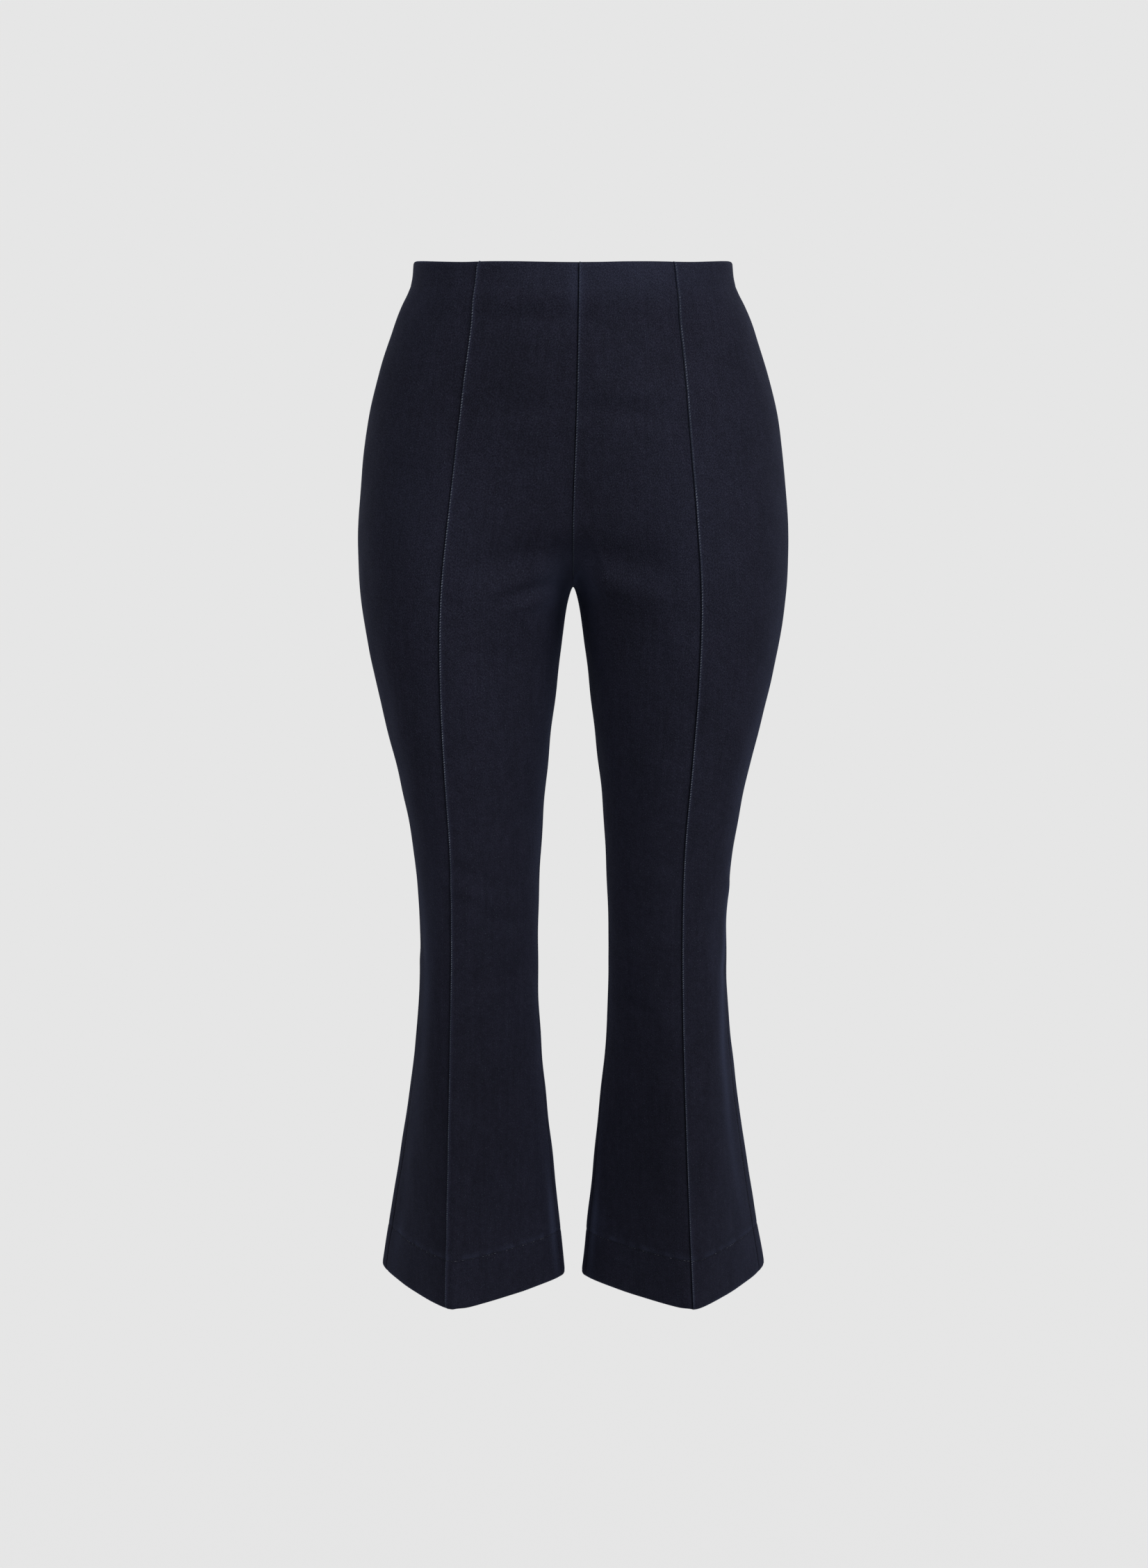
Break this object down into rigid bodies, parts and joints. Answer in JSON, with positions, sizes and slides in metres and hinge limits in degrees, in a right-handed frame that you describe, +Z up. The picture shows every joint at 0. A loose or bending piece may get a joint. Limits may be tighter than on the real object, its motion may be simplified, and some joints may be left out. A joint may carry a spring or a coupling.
{
  "type": "flared jeans, worn form",
  "caption": "Hollow, filled-out pull-on denim jeans with a high plain waist, raised front leg seams and cropped flared legs; open at the waist and at both hems",
  "frame": {"origin": "middle of the waist opening, level with the waist edge at the side seams, where the wearer's waist holds the jeans up", "axes": "+Z up towards the waist, the front faces -Y, the wearer's left side is +X"},
  "size_m": [0.3618, 0.2235, 0.8645],
  "materials": {
    "denim": "matte twill"
  },
  "bodies": {
    "root": {"front_centre_left": "denim", "front_centre_right": "denim", "front_side_left": "denim", "front_side_right": "denim", "back_left": "denim", "back_right": "denim"}
  },
  "joints": []
}
